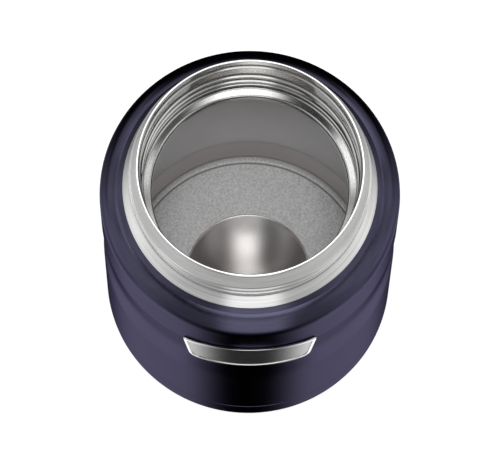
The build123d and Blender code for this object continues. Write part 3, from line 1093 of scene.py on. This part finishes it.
def studio_floor(studio):
    """Pale floor: white to the camera but for the jar's soft shadow, and clear to reflections.

    Reflections look through it into the world, which holds the room below the table too.
    """
    size, level = studio.floor_size, -studio.floor_gap
    square = (-size, -size), (size, -size), (size, size), (-size, size)
    mesh = bpy.data.meshes.new("studio_floor")
    mesh.from_pydata([(x, y, level) for x, y in square], [], [(0, 1, 2, 3)])
    material = bpy.data.materials.new("studio_floor")
    material.use_nodes = True
    tree = material.node_tree
    tree.nodes.clear()
    grey, shade = [(value, value, value, 1) for value in (studio.floor_grey, studio.floor_shade)]
    glow = {"Color": (1, 1, 1, 1), "Strength": studio.floor_glow}
    glow = Wire.node(tree, "ShaderNodeEmission", None, glow)
    matt = Wire.node(tree, "ShaderNodeBsdfDiffuse", None, {"Color": shade})
    seen = Wire.node(tree, "ShaderNodeAddShader", None, {0: glow, 1: matt})
    clear = Wire.node(tree, "ShaderNodeBsdfTransparent")
    plain = Wire.node(tree, "ShaderNodeBsdfDiffuse", None, {"Color": grey})
    show_by_ray(tree, "ShaderNodeOutputMaterial", seen, clear, plain)
    mesh.materials.append(material)
    floor = bpy.data.objects.new("studio_floor", mesh)
    bpy.context.scene.collection.objects.link(floor)


def reflected_room(tree):
    """Brightness that metal sees in a direction: a room of soft grey cards, added up.

    The direction is (x, y, z) with the front at -y, and ahead is the cosine of its turn from the
    front. The sides stand round the jar, the low ones seen steeply downwards and the high ones over
    them, with a shade across both. The wings stand at the back corners. Overhead are the back card,
    which has a bright flare at its front edge and a dim middle behind that, the panels to its left
    and right, and a glow between them and the front. The column rises in front and crosses the
    zenith, with a dip in it and a spot on it.
    """
    place = Wire.node(tree, "ShaderNodeTexCoord", output="Generated")
    x, y, z = [Wire.node(tree, "ShaderNodeSeparateXYZ", None, {0: place}, i) for i in range(3)]
    ahead = 0 - y / (x * x + y * y + 1e-6).math("SQRT")
    aside = x.math("ABSOLUTE")
    near = (0 - y).math("MAXIMUM", 0)

    low = ahead.band(-1.1, -0.4, 0.6, 0.98) * ahead.step(-1.0, -0.97)
    low = low * (z.step(-0.99, -0.94) * 0.72 + 0.75)
    high = ahead.step(-0.7, 0.05) * (1 - ahead.step(0.35, 0.9) * 0.58) * 0.74
    high = high * (1 - z.fade(-0.7, -0.1) * ahead.step(0.6, 0.98))
    high = high + ahead.band(-0.8, -0.4, 0.1, 0.45) * z.fade(-0.15, 0.1) * 0.25
    sides = (high + z.fade(-0.85, -0.5) * (low - high)) * z.fade(0.74, 0.9)
    shade = z.near(-0.55, 0.14, 0.3) * ahead.near(0.12, 0.15, 0.4)
    sides = sides * (1 - shade * 0.38)

    wings = y.step(0.12, 0.3) * aside.step(0.35, 0.5) * z.step(0.2, 0.5) * 0.5

    flare = y.band(0.14, 0.25, 0.3, 0.45) * aside.fade(0.08, 0.26)
    middle = y.step(0.4, 0.6) * aside.fade(0.1, 0.4)
    back = (y - aside * 0.75).step(0.0, 0.28) * z.step(0.6, 0.8)
    back = back * (x.step(-0.1, 0.3) * 0.35 + 0.88) * (flare * 1.5 + 1) * (1 - middle * 0.6)

    panels = aside.band(0.26, 0.3, 0.36, 0.46) * (y - x * 0.12).step(0.1, 0.2) * y.fade(0.27, 0.36)
    panels = panels * z.step(0.8, 0.88) * (1.6 - x.step(-0.1, 0.1) * 0.6)

    glow = x.step(0.12, 0.3) * 0.06 + aside.step(0.25, 0.45) * 0.7 + 0.03
    glow = glow * z.step(0.75, 0.92) * y.fade(0.04, 0.28)

    dip = y.band(-0.42, -0.32, -0.22, -0.12)
    column = (x / (near * 1.4 + 1)).step(-0.14, -0.07) * (x / (near * 0.8 + 1)).fade(0.13, 0.24)
    column = column * y.fade(0.12, 0.3) * z.step(-0.6, -0.15) * (0.82 - dip * 0.25)
    spot = x.near(0.03, 0.05, 0.16) * y.band(-0.24, -0.1, -0.02, 0.2) * z.step(0, 0.5) * 1.35
    return sides + wings + back + panels + glow + column + spot


def studio_world(studio):
    """World: white to the camera, plain grey light, and the cards of the room in reflections."""
    world = bpy.data.worlds.new("studio")
    world.use_nodes = True
    bpy.context.scene.world = world
    tree = world.node_tree
    tree.nodes.clear()
    strengths = 1.0, reflected_room(tree), studio.world_light
    values = [{"Color": (1, 1, 1, 1), "Strength": strength} for strength in strengths]
    lights = [Wire.node(tree, "ShaderNodeBackground", None, light) for light in values]
    show_by_ray(tree, "ShaderNodeOutputWorld", *lights)


def studio_softbox(studio, aim):
    """Square area light overhead, turned to its aim and hidden from reflections."""
    size, name = studio.softbox_size, "overhead_softbox"
    lamp = bpy.data.lights.new(name, "AREA")
    lamp.shape, lamp.size, lamp.energy = "SQUARE", size, studio.softbox_power
    light = bpy.data.objects.new(name, lamp)
    arm = Matrix.Rotation(studio.softbox_tilt, 3, "X") @ Vector((0, 0, studio.softbox_distance))
    light.location = aim + arm
    light.rotation_euler = (-arm).to_track_quat("-Z", "Y").to_euler()
    light.visible_glossy = False
    bpy.context.scene.collection.objects.link(light)


def studio_camera(studio, height):
    """Long lens over the front of the jar, looking steeply down into its mouth."""
    data = bpy.data.cameras.new("camera")
    data.lens, data.sensor_width = studio.focal_length, studio.sensor_width
    data.shift_x = studio.lens_shift
    camera = bpy.data.objects.new("camera", data)
    aim = Vector((0, 0, height - studio.aim_depth))
    azimuth = Matrix.Rotation(studio.camera_azimuth, 3, "Z")
    back = azimuth @ Matrix.Rotation(-studio.camera_elevation, 3, "X") @ Vector((0, -1, 0))
    look = (-back).to_track_quat("-Z", "Y").to_matrix().to_4x4()
    roll = Matrix.Rotation(studio.camera_roll, 4, "Z")
    camera.matrix_world = Matrix.Translation(aim + back * studio.camera_distance) @ look @ roll
    bpy.context.scene.collection.objects.link(camera)
    bpy.context.scene.camera = camera


class JAR_OT_studio(Operator):
    """Sets the floor, the overhead softbox, the room's light and the camera"""

    bl_idname = "food_jar.studio"
    bl_label = "Studio"

    def execute(self, context):
        studio, height = context.scene.jar_studio, context.scene.jar_shell.jar_height
        studio_floor(studio)
        studio_world(studio)
        studio_softbox(studio, Vector((0, 0, height / 2)))
        studio_camera(studio, height)
        context.scene.view_settings.view_transform = "Standard"
        return {"FINISHED"}


# ---------------------------------------------------------------- registration

SETTINGS = {
    "jar_shell": ShellSettings,
    "jar_base": BaseSettings,
    "jar_vessel": VesselSettings,
    "jar_thread": ThreadSettings,
    "jar_badge": BadgeSettings,
    "jar_finish": FinishSettings,
    "jar_studio": StudioSettings,
}
OPERATORS = [
    JAR_OT_lacquered_shell,
    JAR_OT_bare_neck,
    JAR_OT_base_cap,
    JAR_OT_vessel_neck,
    JAR_OT_vessel_chamber,
    JAR_OT_badge,
    JAR_OT_vacuum_parts,
    JAR_OT_studio,
]


class JAR_PT_panel(Panel):
    """Lists the settings and the operators of the food jar"""

    bl_idname = "JAR_PT_panel"
    bl_label = "Food Jar"
    bl_space_type = "VIEW_3D"
    bl_region_type = "UI"
    bl_category = "Food Jar"

    def draw(self, context):
        for operator in OPERATORS:
            self.layout.operator(operator.bl_idname)
        for name, settings in SETTINGS.items():
            box = self.layout.box()
            box.label(text=name)
            for setting in settings.__annotations__:
                box.prop(getattr(context.scene, name), setting)


def register():
    for cls in [*SETTINGS.values(), *OPERATORS, JAR_PT_panel]:
        bpy.utils.register_class(cls)
    for name, group in SETTINGS.items():
        setattr(bpy.types.Scene, name, PointerProperty(type=group))


def unregister():
    for name in SETTINGS:
        delattr(bpy.types.Scene, name)
    for cls in reversed([*SETTINGS.values(), *OPERATORS, JAR_PT_panel]):
        bpy.utils.unregister_class(cls)


def main():
    """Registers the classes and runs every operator."""
    register()
    for operator in OPERATORS:
        group, name = operator.bl_idname.split(".")
        getattr(getattr(bpy.ops, group), name)()


if __name__ == "__main__":
    main()
